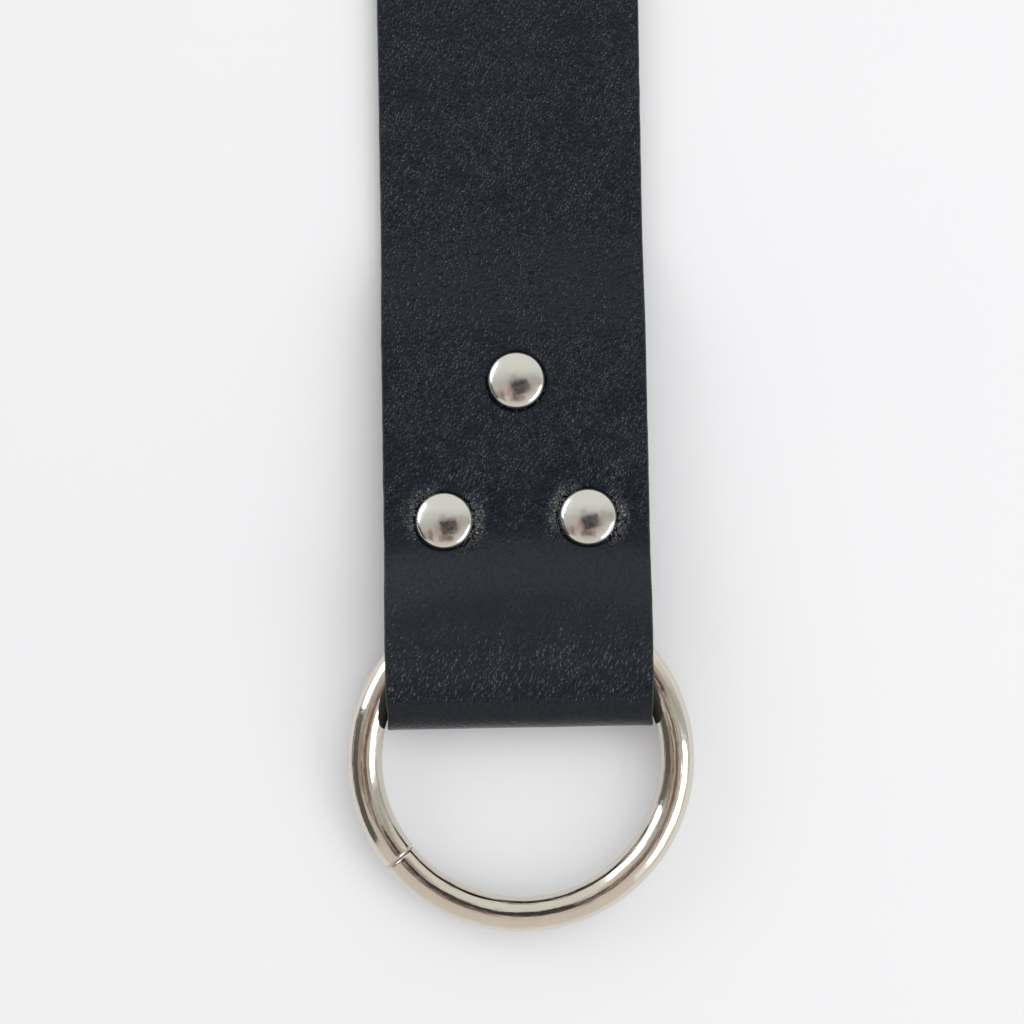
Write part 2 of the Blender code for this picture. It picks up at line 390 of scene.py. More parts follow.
def strap_row(stretch, place, inset):
    """Points of one row, and on each its hide coordinates, its grain depth and its share of painted sheen."""
    half = HALF_WIDTH
    if stretch == "fold":
        hide = (FOLD_RADIUS + LEATHER / 2) * (math.pi / 2 - place)
    else:
        hide = hide_place(place) * (1 if stretch == "face" else -1)
    wobble = EDGE_WOBBLE * (wobble_field(np.array([-half, half]), np.array([hide, hide])) - 1)
    across, offset, _ = section(half, inset)
    across = across + np.where(across > 0, wobble[1], -wobble[0]) * smooth((np.abs(across) - half + MM) / MM)
    hides = np.full(across.shape, hide)
    inward = smooth((half - np.abs(across)) / EDGE_MARGIN)
    raised = np.where(offset >= LEATHER / 2 - inset - 1e-7, relief(across, hides) * inward, 0)
    if stretch == "fold":
        points = fold_points(place, across * narrowing(place, offset), offset + raised)
    elif stretch == "face":
        points = layer_points(face_height, across, np.full(across.shape, place), offset + raised)
    else:
        points = layer_points(flap_height, across, np.full(across.shape, place), -offset - raised)
    pattern = grain_place(across, hides)
    x, y, z = points
    row = np.stack((x, y + RING_CENTRE.y, z), axis=-1)
    return row, np.stack((*pattern, offset), axis=-1) / MM, grain_depth(across, hides), painted_sheen_share(hides)


def add_object(name, mesh):
    obj = bpy.data.objects.new(name, mesh)
    bpy.context.scene.collection.objects.link(obj)
    return obj


def make_hole_cutter():
    """Three round bars through both layers, where the rivets' tubes go."""
    bm = bmesh.new()
    for across, along, _ in RIVETS:
        bmesh.ops.create_cone(
            bm,
            cap_ends=True,
            segments=32,
            radius1=HOLE_RADIUS,
            radius2=HOLE_RADIUS,
            depth=8 * LEATHER,
            matrix=rivet_place(across, along),
        )
    mesh = bpy.data.meshes.new("hole_cutter")
    bm.to_mesh(mesh)
    bm.free()
    return add_object("hole_cutter", mesh)


def make_strap(finishes):
    rows, hides, *shares = zip(*[strap_row(*row) for row in strap_rows()])
    count = len(rows[0])
    faces = []
    for i in range(len(rows) - 1):
        first, second = i * count, (i + 1) * count
        for j in range(count):
            k = (j + 1) % count
            faces.append((first + j, first + k, second + k, second + j))
    sides = section(HALF_WIDTH, 0)[2] * (len(rows) - 1)
    last = (len(rows) - 1) * count
    faces += [tuple(range(count))[::-1], tuple(range(last, last + count))]
    sides += [CUT_EDGE, CUT_EDGE]
    mesh = bpy.data.meshes.new("strap_leather")
    mesh.from_pydata(np.concatenate(rows).tolist(), [], faces)
    mesh.polygons.foreach_set("material_index", sides)
    hide = mesh.attributes.new("hide", "FLOAT_VECTOR", "POINT")
    hide.data.foreach_set("vector", np.concatenate(hides).ravel())
    # The grain depth, and the share of painted sheen, a paler dye over the ring.
    for name, values in zip(("grain_depth", "pale"), shares):
        attribute = mesh.attributes.new(name, "FLOAT", "POINT")
        attribute.data.foreach_set("value", np.concatenate(values))
    for finish in finishes:
        mesh.materials.append(finish)
    strap = add_object("strap_leather", mesh)
    cutter = make_hole_cutter()
    cut = strap.modifiers.new("rivet_holes", "BOOLEAN")
    cut.operation = "DIFFERENCE"
    cut.solver = "EXACT"
    cut.object = cutter
    finish_mesh(strap)
    bpy.data.objects.remove(cutter)
    return strap


def finish_mesh(obj, sharp=35):
    """Turns the object, with its modifiers, into a plain mesh with smooth round surfaces."""
    depsgraph = bpy.context.evaluated_depsgraph_get()
    mesh = bpy.data.meshes.new_from_object(obj.evaluated_get(depsgraph), depsgraph=depsgraph)
    obj.modifiers.clear()
    obj.data = mesh
    mesh.shade_smooth()
    mesh.set_sharp_from_angle(angle=math.radians(sharp))
    return obj


# Ring


BUTT_ANGLE = math.radians(218.1)
BUTT_GAP = 0.22 * MM
BUTT_EASE = 0.22 * MM
BUTT_LIP = 0.07 * MM  # one end of the wire stands out this far past the other
LIP_RUN = 0.04  # share of the wire over which it does
ARC_POINTS = 360
WIRE_SIDES = 72
EASE_STEPS = 4


def add_node(tree, kind, inputs=None, **settings):
    """Adds a node with its settings. inputs gives a value or a socket to link, by socket name or number."""
    node = tree.nodes.new(kind)
    for name, value in settings.items():
        setattr(node, name, value)
    for key, value in (inputs or {}).items():
        if isinstance(key, int):
            socket = node.inputs[key]
        else:
            socket = next(s for s in node.inputs if s.name == key and s.enabled)
        if isinstance(value, bpy.types.NodeSocket):
            tree.links.new(value, socket)
        else:
            socket.default_value = value
    return node


def new_tree(name, sockets):
    """A Geometry Nodes tree with named inputs, and its input node."""
    tree = bpy.data.node_groups.new(name, "GeometryNodeTree")
    tree.interface.new_socket("Geometry", in_out="OUTPUT", socket_type="NodeSocketGeometry")
    for label, kind in sockets.items():
        tree.interface.new_socket(label, in_out="INPUT", socket_type=f"NodeSocket{kind}")
    return tree, tree.nodes.new("NodeGroupInput")


def end_tree(tree, geometry, material):
    """Ends a tree: instances made real, and the finish set."""
    real = add_node(tree, "GeometryNodeRealizeInstances", {"Geometry": geometry})
    finished = add_node(tree, "GeometryNodeSetMaterial", {"Geometry": real.outputs[0], "Material": material})
    add_node(tree, "NodeGroupOutput", {"Geometry": finished.outputs[0]})


def run_tree(name, tree, values, mesh=None):
    """An object made by the tree with these values for its inputs."""
    obj = add_object(name, mesh or bpy.data.meshes.new(name))
    modifier = obj.modifiers.new(tree.name, "NODES")
    modifier.node_group = tree
    for item in tree.interface.items_tree:
        if item.in_out == "INPUT" and item.name in values:
            modifier[item.identifier] = values[item.name]
    return finish_mesh(obj)


def ring_tree():
    """A round wire bent to a circle. Its two ends are butted, eased, and one stands out a little."""
    tree, given = new_tree(
        "bent_wire_ring",
        {
            "Ring Radius": "Float",
            "Wire Radius": "Float",
            "Start": "Float",
            "Sweep": "Float",
            "Ease": "Float",
            "Lip": "Float",
            "Finish": "Material",
        },
    )
    arc = add_node(
        tree,
        "GeometryNodeCurveArc",
        {
            "Resolution": ARC_POINTS,
            "Radius": given.outputs["Ring Radius"],
            "Start Angle": given.outputs["Start"],
            "Sweep Angle": given.outputs["Sweep"],
        },
    )
    share = add_node(tree, "GeometryNodeSplineParameter").outputs["Factor"]
    last = add_node(
        tree,
        "ShaderNodeMapRange",
        {"Value": share, "From Min": 1 - LIP_RUN, "From Max": 1.0},
        interpolation_type="SMOOTHSTEP",
    )
    lip = add_node(
        tree, "ShaderNodeMath", {0: last.outputs[0], 1: given.outputs["Lip"]}, operation="MULTIPLY"
    )
    outward = add_node(
        tree,
        "ShaderNodeVectorMath",
        {0: add_node(tree, "GeometryNodeInputPosition").outputs[0]},
        operation="NORMALIZE",
    )
    shift = add_node(
        tree,
        "ShaderNodeVectorMath",
        {0: outward.outputs[0], "Scale": lip.outputs[0]},
        operation="SCALE",
    )
    line = add_node(
        tree, "GeometryNodeSetPosition", {"Geometry": arc.outputs["Curve"], "Offset": shift.outputs[0]}
    )
    profile = add_node(
        tree,
        "GeometryNodeCurvePrimitiveCircle",
        {"Resolution": WIRE_SIDES, "Radius": given.outputs["Wire Radius"]},
    )
    wire = add_node(
        tree,
        "GeometryNodeCurveToMesh",
        {"Curve": line.outputs[0], "Profile Curve": profile.outputs[0], "Fill Caps": True},
    )
    corners = add_node(tree, "GeometryNodeInputMeshFaceNeighbors").outputs["Vertex Count"]
    cap = add_node(
        tree, "FunctionNodeCompare", {"A": corners, "B": 4}, data_type="INT", operation="GREATER_THAN"
    )
    geometry, chosen = wire.outputs[0], cap.outputs[0]
    turns = np.linspace(0, math.pi / 2, EASE_STEPS + 1)
    radii = 1 - BUTT_EASE / WIRE_RADIUS * (1 - np.cos(turns))
    for i in range(EASE_STEPS):
        advance = add_node(
            tree,
            "ShaderNodeMath",
            {0: given.outputs["Ease"], 1: float(np.sin(turns[i + 1]) - np.sin(turns[i]))},
            operation="MULTIPLY",
        )
        longer = add_node(
            tree,
            "GeometryNodeExtrudeMesh",
            {"Mesh": geometry, "Selection": chosen, "Offset Scale": advance.outputs[0], "Individual": True},
        )
        narrower = add_node(
            tree,
            "GeometryNodeScaleElements",
            {
                "Geometry": longer.outputs["Mesh"],
                "Selection": longer.outputs["Top"],
                "Scale": float(radii[i + 1] / radii[i]),
            },
        )
        geometry, chosen = narrower.outputs[0], longer.outputs["Top"]
    end_tree(tree, geometry, given.outputs["Finish"])
    return tree


def make_ring(finish):
    values = {
        "Ring Radius": RING_RADIUS,
        "Wire Radius": WIRE_RADIUS,
        "Start": BUTT_ANGLE + (BUTT_GAP / 2 + BUTT_EASE) / RING_RADIUS,
        "Sweep": 2 * math.pi - (BUTT_GAP + 2 * BUTT_EASE) / RING_RADIUS,
        "Ease": BUTT_EASE,
        "Lip": -BUTT_LIP,
        "Finish": finish,
    }
    ring = run_tree("ring_wire", ring_tree(), values)
    ring.data.transform(Matrix.Translation(RING_CENTRE))
    return ring


# Rivets


ROUND_STEPS = 96
EDGE_STEPS = 10
CROWN_STEPS = 12


def turned(name, outline):
    """The outline of (radius, height) points turned about Z. It starts and ends on the axis."""
    bm = bmesh.new()
    verts = [bm.verts.new((radius, 0, height)) for radius, height in outline]
    edges = [bm.edges.new(pair) for pair in zip(verts, verts[1:])]
    bmesh.ops.spin(
        bm,
        geom=verts + edges,
        axis=(0, 0, 1),
        cent=(0, 0, 0),
        steps=ROUND_STEPS,
        angle=2 * math.pi,
    )
    bmesh.ops.remove_doubles(bm, verts=bm.verts, dist=MM / 1000)
    bmesh.ops.recalc_face_normals(bm, faces=bm.faces)
    mesh = bpy.data.meshes.new(name)
    bm.to_mesh(mesh)
    bm.free()
    return mesh


def crown(edge):
    """(radius, height) points of a cap, from the lip rolled under its edge to the middle of its top."""
    widest = SEAT + LIP_SHARE * edge
    floor = SEAT - SEAT_GAP + LIP_TOUCH
    lip_centre = LIP_INNER + (CAP_RADIUS - LIP_INNER) / 2
    outline = [(LIP_INNER, SEAT), (LIP_INNER, floor + 0.1 * MM), (LIP_INNER + 0.1 * MM, floor)]
    for turn in np.linspace(0, math.pi / 2, EDGE_STEPS // 2 + 1):
        radius = lip_centre + (CAP_RADIUS - lip_centre) * math.sin(turn)
        outline.append((radius, widest - (widest - floor) * math.cos(turn)))
    turn = crown_turn(edge)
    for angle in np.linspace(math.pi / 2, turn, EDGE_STEPS + 1)[1:]:
        outline.append((CAP_RADIUS - edge + edge * math.sin(angle), widest + edge * math.cos(angle)))
    centre = widest + crown_rise(edge) - CROWN_RADIUS
    for angle in np.linspace(turn, 0, CROWN_STEPS + 1)[1:]:
        outline.append((CROWN_RADIUS * math.sin(angle), centre + CROWN_RADIUS * math.cos(angle)))
    return outline


def cap_mesh():
    """The piece on the face: a crowned cap with a tube that goes down through both layers."""
    tube_end = SEAT_GAP - SEAT
    tube = [(0, SEAT), (TUBE_INNER, SEAT), (TUBE_INNER, tube_end), (TUBE_OUTER, tube_end), (TUBE_OUTER, SEAT)]
    return turned("cap_pattern", tube + crown(CAP_EDGE))


def base_mesh():
    """The piece on the back: a flatter cap with a post that stands in the tube."""
    post_top = SEAT - SEAT_GAP
    post = [(0, post_top), (POST_RADIUS, post_top), (POST_RADIUS, -SEAT)]
    return turned("base_pattern", post + [(radius, -height) for radius, height in crown(BASE_EDGE)])


def rivet_slope(along):
    reach = 0.1 * MM
    return (middle_height(along + reach) - middle_height(along - reach)) / (2 * reach)


def rivet_place(across, along):
    """A rivet stands on the surface between the layers, square to it."""
    spot = Matrix.Translation((across, RING_CENTRE.y + along, middle_height(along)))
    return spot @ Matrix.Rotation(math.atan(rivet_slope(along)), 4, "X")


def rivet_tree():
    """One rivet piece set on each point of a mesh, along the axis that is stored there."""
    tree, given = new_tree("rivets_set", {"Geometry": "Geometry", "Piece": "Object", "Finish": "Material"})
    pattern = add_node(tree, "GeometryNodeObjectInfo", {"Object": given.outputs["Piece"]})
    square = add_node(
        tree, "GeometryNodeInputNamedAttribute", {"Name": "square"}, data_type="FLOAT_VECTOR"
    )
    turn = add_node(
        tree, "FunctionNodeAlignRotationToVector", {"Vector": square.outputs[0]}, axis="Z", pivot_axis="AUTO"
    )
    placed = add_node(
        tree,
        "GeometryNodeInstanceOnPoints",
        {
            "Points": given.outputs["Geometry"],
            "Instance": pattern.outputs["Geometry"],
            "Rotation": turn.outputs[0],
        },
    )
    end_tree(tree, placed.outputs[0], given.outputs["Finish"])
    return tree


def make_rivets(name, tree, mesh, finish, leans=((0, 0),) * 3):
    """The same piece of all three rivets. Each leans about the middle of its seat on the leather."""
    pattern = add_object(mesh.name, mesh)
    axes, spots = [], []
    for (across, along, _), (right, up) in zip(RIVETS, leans):
        upright = Vector((0, -rivet_slope(along), 1)).normalized()
        axis = upright + Vector((math.tan(math.radians(right)), math.tan(math.radians(up)), 0))
        axes.append(axis.normalized())
        spots.append(rivet_place(across, along).translation + SEAT * (upright - axes[-1]))
    places = bpy.data.meshes.new(f"{name}_places")
    places.from_pydata(spots, [], [])
    square = places.attributes.new("square", "FLOAT_VECTOR", "POINT")
    for point, axis in zip(square.data, axes):
        point.vector = axis
    rivets = run_tree(name, tree, {"Piece": pattern, "Finish": finish}, places)
    bpy.data.objects.remove(pattern)
    return rivets


# Finishes


def linear(hex_colour):
    """A colour's sRGB hex value as linear red, green, blue and alpha."""
    channels = [int(hex_colour[i : i + 2], 16) / 255 for i in (1, 3, 5)]
    return (*[c / 12.92 if c <= 0.04045 else ((c + 0.055) / 1.055) ** 2.4 for c in channels], 1)


def new_finish(name, roughness, metallic=0.0):
    """A material with its shader's plain numbers set, its node tree and its shader."""
    material = bpy.data.materials.new(name)
    material.use_nodes = True
    tree = material.node_tree
    shader = tree.nodes["Principled BSDF"]
    shader.inputs["Roughness"].default_value = roughness
    shader.inputs["Metallic"].default_value = metallic
    return material, tree, shader


PEBBLE_MM = 0.46  # across a pebble of the grain
PEBBLE_HEIGHT_MM = 0.22  # from a pebble's top, times the square of the distance from it in pebbles
FLATTEST = 0.3 * PEBBLE_HEIGHT_MM  # pebbles differ from this
STEEPEST = 1.6 * PEBBLE_HEIGHT_MM  # to this
DRAWN = 1.2  # the grain is longer one way, which the hide's growth gives it
DRAWN_WAY = math.radians(62)
PORE_MM = 0.3
PORE_HEIGHT_MM = 0.04
WRINKLE_MM = 1.5
WRINKLE_HEIGHT_MM = 0.1
GRAIN_ROUGHNESS = 0.22
DRAWN_ROUGHNESS = 0.42  # where the leather is drawn smooth, its finish is opened and duller
RUBBED_ROUGHNESS = 0.12  # beside the lower caps, where the creased leather is rubbed
DRAWN_BELOW = 0.15  # these four in grain depth
GRAINED_FROM = 0.7
RUBBED_FROM = 1.1
RUBBED_FULL = 2.5
RUBBED_GLOSS = 4.6  # times the gloss elsewhere
PEBBLE_GLOSS = 0.3
CREASE_GLOSS = 0.22
CREASE_FROM = 0.3  # from a pebble's top, in pebbles
CREASE_TO = 0.75
BLOTCH_MM = 6  # across the patches where the dye took a little more or less
PATCH_MM = 4  # across the patches where the grain is coarser or finer
FINER = 0.55  # share of the grain's depth there
COARSER = 1.25


def full_grain_cowhide():
    """Drum-dyed full-grain cowhide under a thin pigment finish.

    Each pebble catches a small soft glint from the windows, the creases between them hold less light, and
    the black leans to blue. Where the leather is drawn over the ring, its finish is duller, and its dye is
    made paler there as painted sheen.
    """
    material, tree, shader = new_finish("full_grain_cowhide", roughness=GRAIN_ROUGHNESS)
    hide = add_node(tree, "ShaderNodeAttribute", attribute_name="hide").outputs["Vector"]
    depth = add_node(tree, "ShaderNodeAttribute", attribute_name="grain_depth").outputs["Fac"]
    drawn = add_node(
        tree,
        "ShaderNodeMapping",
        {"Vector": hide, "Rotation": (0, 0, DRAWN_WAY), "Scale": (DRAWN, 1, 1)},
        vector_type="TEXTURE",
    )
    grain = drawn.outputs[0]
    pebbles = add_node(
        tree,
        "ShaderNodeTexVoronoi",
        {"Vector": grain, "Scale": 1 / PEBBLE_MM, "Smoothness": 0.3, "Randomness": 1.0},
        feature="SMOOTH_F1",
    )
    size = add_node(tree, "ShaderNodeSeparateColor", {"Color": pebbles.outputs["Color"]})
    steep = add_node(
        tree,
        "ShaderNodeMapRange",
        {"Value": size.outputs[0], "To Min": -FLATTEST, "To Max": -STEEPEST},
    )
    square = add_node(
        tree,
        "ShaderNodeMath",
        {0: pebbles.outputs["Distance"], 1: pebbles.outputs["Distance"]},
        operation="MULTIPLY",
    )
    pores = add_node(tree, "ShaderNodeTexNoise", {"Vector": hide, "Scale": 1 / PORE_MM, "Detail": 1.0})
    wrinkles = add_node(tree, "ShaderNodeTexNoise", {"Vector": grain, "Scale": 1 / WRINKLE_MM, "Detail": 1.0})
    patches = add_node(tree, "ShaderNodeTexNoise", {"Vector": hide, "Scale": 1 / PATCH_MM, "Detail": 2.0})
    domes = add_node(
        tree,
        "ShaderNodeMath",
        {0: square.outputs[0], 1: steep.outputs[0]},
        operation="MULTIPLY",
    )
    pored = add_node(
        tree,
        "ShaderNodeMath",
        {0: pores.outputs[0], 1: PORE_HEIGHT_MM, 2: domes.outputs[0]},
        operation="MULTIPLY_ADD",
    )
    wrinkled = add_node(
        tree,
        "ShaderNodeMath",
        {0: wrinkles.outputs[0], 1: WRINKLE_HEIGHT_MM, 2: pored.outputs[0]},
        operation="MULTIPLY_ADD",
    )
    patchy = add_node(
        tree,
        "ShaderNodeMapRange",
        {"Value": patches.outputs[0], "From Min": 0.3, "From Max": 0.7, "To Min": FINER, "To Max": COARSER},
    )
    strength = add_node(tree, "ShaderNodeMath", {0: patchy.outputs[0], 1: depth}, operation="MULTIPLY")
    height = add_node(
        tree, "ShaderNodeMath", {0: wrinkled.outputs[0], 1: strength.outputs[0]}, operation="MULTIPLY"
    )
    bump = add_node(tree, "ShaderNodeBump", {"Height": height.outputs[0], "Distance": MM, "Strength": 1.0})
    tree.links.new(bump.outputs[0], shader.inputs["Normal"])
    blotches = add_node(tree, "ShaderNodeTexNoise", {"Vector": hide, "Scale": 1 / BLOTCH_MM, "Detail": 3.0})
    dye = add_node(
        tree,
        "ShaderNodeMix",
        {"Factor": blotches.outputs[0], "A": linear("#0c131d"), "B": linear("#0f1620")},
        data_type="RGBA",
    )
    # Painted sheen: over the ring the dye is mixed towards a paler grey, which stands in for the leather's
    # sheen there.
    pale = add_node(tree, "ShaderNodeAttribute", attribute_name="pale").outputs["Fac"]
    dye_with_painted_sheen = add_node(
        tree,
        "ShaderNodeMix",
        {"Factor": pale, "A": dye.outputs["Result"], "B": linear("#1a1f26")},
        data_type="RGBA",
    )
    tree.links.new(dye_with_painted_sheen.outputs["Result"], shader.inputs["Base Color"])
    crease = add_node(
        tree,
        "ShaderNodeMapRange",
        {
            "Value": pebbles.outputs["Distance"],
            "From Min": CREASE_FROM,
            "From Max": CREASE_TO,
            "To Min": PEBBLE_GLOSS,
            "To Max": CREASE_GLOSS,
        },
        interpolation_type="SMOOTHSTEP",
    )
    burnish = add_node(
        tree,
        "ShaderNodeMapRange",
        {
            "Value": depth,
            "From Min": RUBBED_FROM,
            "From Max": NEAR_RIVET,
            "To Min": 1.0,
            "To Max": RUBBED_GLOSS,
        },
    )
    gloss = add_node(
        tree, "ShaderNodeMath", {0: crease.outputs[0], 1: burnish.outputs[0]}, operation="MULTIPLY"
    )
    tree.links.new(gloss.outputs[0], shader.inputs["Specular IOR Level"])
    dulled = add_node(
        tree,
        "ShaderNodeMapRange",
        {
            "Value": depth,
            "From Min": DRAWN_BELOW,
            "From Max": GRAINED_FROM,
            "To Min": DRAWN_ROUGHNESS,
            "To Max": GRAIN_ROUGHNESS,
        },
    )
    rubbed = add_node(
        tree,
        "ShaderNodeMapRange",
        {
            "Value": depth,
            "From Min": RUBBED_FROM,
            "From Max": RUBBED_FULL,
            "To Min": dulled.outputs[0],
            "To Max": RUBBED_ROUGHNESS,
        },
    )
    tree.links.new(rubbed.outputs[0], shader.inputs["Roughness"])
    return material


FIBRE_MM = 0.5


def dyed_cut_edge():
    """The strap's edge, cut through the hide and dyed: packed fibres, dull and a little greenish."""
    material, tree, shader = new_finish("dyed_cut_edge", roughness=0.75)
    hide = add_node(tree, "ShaderNodeAttribute", attribute_name="hide").outputs["Vector"]
    drawn = add_node(tree, "ShaderNodeMapping", {"Vector": hide, "Scale": (1.0, 0.35, 3.0)})
    fibres = add_node(
        tree,
        "ShaderNodeTexNoise",
        {"Vector": drawn.outputs[0], "Scale": 1 / FIBRE_MM, "Detail": 5.0},
    )
    dye = add_node(
        tree,
        "ShaderNodeMix",
        {"Factor": fibres.outputs[0], "A": linear("#1b1d1c"), "B": linear("#383c38")},
        data_type="RGBA",
    )
    tree.links.new(dye.outputs["Result"], shader.inputs["Base Color"])
    bump = add_node(
        tree, "ShaderNodeBump", {"Height": fibres.outputs[0], "Distance": 0.12 * MM, "Strength": 1.0}
    )
    tree.links.new(bump.outputs[0], shader.inputs["Normal"])
    return material


NAP_MM = 0.45
NAP_CLOUD_MM = 7


def brushed_flesh_side():
    """The back of the hide, split and brushed: a short matt nap, dyed through to a dark grey."""
    material, tree, shader = new_finish("brushed_flesh_side", roughness=0.9)
    shader.inputs["Specular IOR Level"].default_value = 0.25
    hide = add_node(tree, "ShaderNodeAttribute", attribute_name="hide").outputs["Vector"]
    nap = add_node(
        tree, "ShaderNodeTexNoise", {"Vector": hide, "Scale": 1 / NAP_MM, "Detail": 6.0, "Roughness": 0.65}
    )
    clouds = add_node(tree, "ShaderNodeTexNoise", {"Vector": hide, "Scale": 1 / NAP_CLOUD_MM, "Detail": 3.0})
    shade = add_node(
        tree, "ShaderNodeMath", {0: nap.outputs[0], 1: 0.6, 2: clouds.outputs[0]}, operation="MULTIPLY_ADD"
    )
    dye = add_node(
        tree,
        "ShaderNodeMix",
        {"Factor": shade.outputs[0], "A": linear("#141517"), "B": linear("#34363a")},
        data_type="RGBA",
    )
    tree.links.new(dye.outputs["Result"], shader.inputs["Base Color"])
    bump = add_node(
        tree, "ShaderNodeBump", {"Height": nap.outputs[0], "Distance": 0.25 * MM, "Strength": 1.0}
    )
    tree.links.new(bump.outputs[0], shader.inputs["Normal"])
    return material


PLATE_CLOUD = 5 * MM
PLATE_HAZE = 0.6 * MM
PLATE_RIPPLE = 2.5 * MM
STREAK = 0.25 * MM  # between the die lines along the wire, drawn coarser, as real ones are too fine to see
STREAK_STRETCH = 0.04
STREAK_HEIGHT = 0.03 * MM


def wire_place(tree, place):
    """A place over the ring's wire, for a pattern that runs out into streaks along it."""
    turned_place = add_node(
        tree,
        "ShaderNodeMapping",
        {"Vector": place, "Location": tuple(RING_CENTRE), "Rotation": (0, 0, BUTT_ANGLE - math.pi)},
        vector_type="TEXTURE",
    )
    parts = add_node(tree, "ShaderNodeSeparateXYZ", {"Vector": turned_place.outputs[0]})
    angle = add_node(
        tree, "ShaderNodeMath", {0: parts.outputs["Y"], 1: parts.outputs["X"]}, operation="ARCTAN2"
    )
    run = add_node(
        tree,
        "ShaderNodeMath",
        {0: angle.outputs[0], 1: RING_RADIUS * STREAK_STRETCH},
        operation="MULTIPLY",
    )
    flat = add_node(tree, "ShaderNodeCombineXYZ", {"X": parts.outputs["X"], "Y": parts.outputs["Y"]})
    radius = add_node(tree, "ShaderNodeVectorMath", {0: flat.outputs[0]}, operation="LENGTH")
    return add_node(
        tree,
        "ShaderNodeCombineXYZ",
        {"X": radius.outputs["Value"], "Y": parts.outputs["Z"], "Z": run.outputs[0]},
    ).outputs[0]


def nickel_plate(name, hex_clean, hex_dull, roughness, drawn_wire=False):
    """Bright nickel plate on steel: a warm white metal, with faint clouds where it has been handled.

    On drawn wire, the lines that the die left in the steel still show along it as fine streaks.
    """
    material, tree, shader = new_finish(name, roughness=roughness, metallic=1.0)
    place = add_node(tree, "ShaderNodeTexCoord").outputs["Object"]
    clouds = add_node(tree, "ShaderNodeTexNoise", {"Vector": place, "Scale": 1 / PLATE_CLOUD, "Detail": 3.0})
    tint = add_node(
        tree,
        "ShaderNodeMix",
        {"Factor": clouds.outputs[0], "A": linear(hex_clean), "B": linear(hex_dull)},
        data_type="RGBA",
    )
    tree.links.new(tint.outputs["Result"], shader.inputs["Base Color"])
    haze = add_node(tree, "ShaderNodeTexNoise", {"Vector": place, "Scale": 1 / PLATE_HAZE, "Detail": 4.0})
    gloss = add_node(
        tree,
        "ShaderNodeMapRange",
        {
            "Value": haze.outputs[0],
            "From Min": 0.3,
            "From Max": 0.8,
            "To Min": roughness * 0.7,
            "To Max": roughness * 1.5,
        },
    )
    tree.links.new(gloss.outputs[0], shader.inputs["Roughness"])
    ripple = add_node(tree, "ShaderNodeTexNoise", {"Vector": place, "Scale": 1 / PLATE_RIPPLE, "Detail": 2.0})
    bump = add_node(
        tree, "ShaderNodeBump", {"Height": ripple.outputs[0], "Distance": 0.03 * MM, "Strength": 1.0}
    )
    if drawn_wire:
        streaks = add_node(
            tree,
            "ShaderNodeTexNoise",
            {"Vector": wire_place(tree, place), "Scale": 1 / STREAK, "Detail": 2.0},
        )
        bump = add_node(
            tree,
            "ShaderNodeBump",
            {
                "Height": streaks.outputs[0],
                "Distance": STREAK_HEIGHT,
                "Strength": 1.0,
                "Normal": bump.outputs[0],
            },
        )
    tree.links.new(bump.outputs[0], shader.inputs["Normal"])
    return material


BOARD_MOTTLE = 60 * MM


def pale_board():
    """Matt white board under the belt, with the faintest mottle."""
    material, tree, shader = new_finish("pale_board", roughness=0.8)
    place = add_node(tree, "ShaderNodeTexCoord").outputs["Object"]
    mottle = add_node(tree, "ShaderNodeTexNoise", {"Vector": place, "Scale": 1 / BOARD_MOTTLE, "Detail": 2.0})
    paint = add_node(
        tree,
        "ShaderNodeMix",
        {"Factor": mottle.outputs[0], "A": linear("#e1e3e8"), "B": linear("#e3e5e9")},
        data_type="RGBA",
    )
    tree.links.new(paint.outputs["Result"], shader.inputs["Base Color"])
    return material


def glow(name, hex_colour):
    """The look of a card that is only seen mirrored: its colour as it comes back from the room."""
    material = bpy.data.materials.new(name)
    material.use_nodes = True
    material.cycles.emission_sampling = "NONE"
    tree = material.node_tree
    tree.nodes.clear()
    light = add_node(tree, "ShaderNodeEmission", {"Color": linear(hex_colour), "Strength": 1.0})
    add_node(tree, "ShaderNodeOutputMaterial", {"Surface": light.outputs[0]})
    return material


# Studio


def add_plane(name, size, place, material):
    """A flat rectangle of that width and depth, put in place by a matrix."""
    signs = ((-1, -1), (1, -1), (1, 1), (-1, 1))
    corners = [(right * size[0] / 2, up * size[1] / 2, 0) for right, up in signs]
    mesh = bpy.data.meshes.new(name)
    mesh.from_pydata(corners, [], [(0, 1, 2, 3)])
    mesh.materials.append(material)
    plane = add_object(name, mesh)
    plane.matrix_world = place
    return plane


def facing(azimuth, distance, height):
    """A place at that azimuth, counted from +X towards +Y, whose -Z looks back at the Z axis."""
    angle = math.radians(azimuth)
    spot = Vector((math.cos(angle) * distance, math.sin(angle) * distance, height))
    outward = Vector((math.cos(angle), math.sin(angle), 0))
    return Matrix.Translation(spot) @ outward.to_track_quat("Z", "Y").to_matrix().to_4x4()


DAYLIGHT = "#eef4ff"  # the windows' images, a little blue


def add_light(name, size, place, radiance, mirrored):
    """A rectangle of light, in watts from its radiance. It is either mirrored in the metal and the leather's
    gloss, or it lights the rest."""
    light = bpy.data.lights.new(name, "AREA")
    light.shape = "RECTANGLE"
    light.size, light.size_y = size
    light.energy = radiance * math.pi * size[0] * size[1]
    if mirrored:
        light.color = linear(DAYLIGHT)[:3]
    lamp = bpy.data.objects.new(name, light)
    bpy.context.scene.collection.objects.link(lamp)
    lamp.matrix_world = place
    lamp.visible_diffuse = not mirrored
    lamp.visible_glossy = mirrored


HALO = 1.35  # the dimmer frame of light round a window, as a share of its size
HALO_RADIANCE = 0.3
IMAGE_STEP = 0.02  # metres between a window's lights, as a ray meets only one of two at the same place


